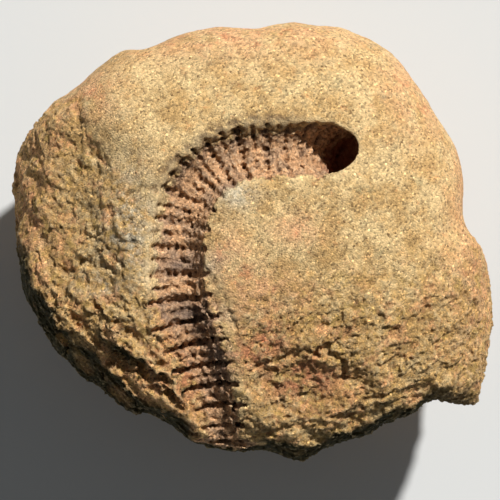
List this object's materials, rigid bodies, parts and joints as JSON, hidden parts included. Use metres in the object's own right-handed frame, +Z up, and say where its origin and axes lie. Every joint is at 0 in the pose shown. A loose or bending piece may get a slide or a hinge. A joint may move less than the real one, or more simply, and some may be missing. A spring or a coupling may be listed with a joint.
{
  "type": "crinoid stem fossil",
  "caption": "Sandstone cobble with the hollow mould of a sea lily's stem, ribbed and hooked, running across its face and diving into the stone.",
  "frame": {"origin": "middle of the stone's bounding box, on the plane it rests on", "axes": "+Z up, out of the fossil face; +X to the side that the stem's mould dives into; +Y to the side of the mould's bend, away from the edge where the mould runs out"},
  "size_m": [0.1008, 0.0914, 0.0571],
  "materials": {
    "sandstone": "rough, grainy, unpolished"
  },
  "bodies": {
    "root": {"stone": "sandstone"}
  },
  "joints": []
}
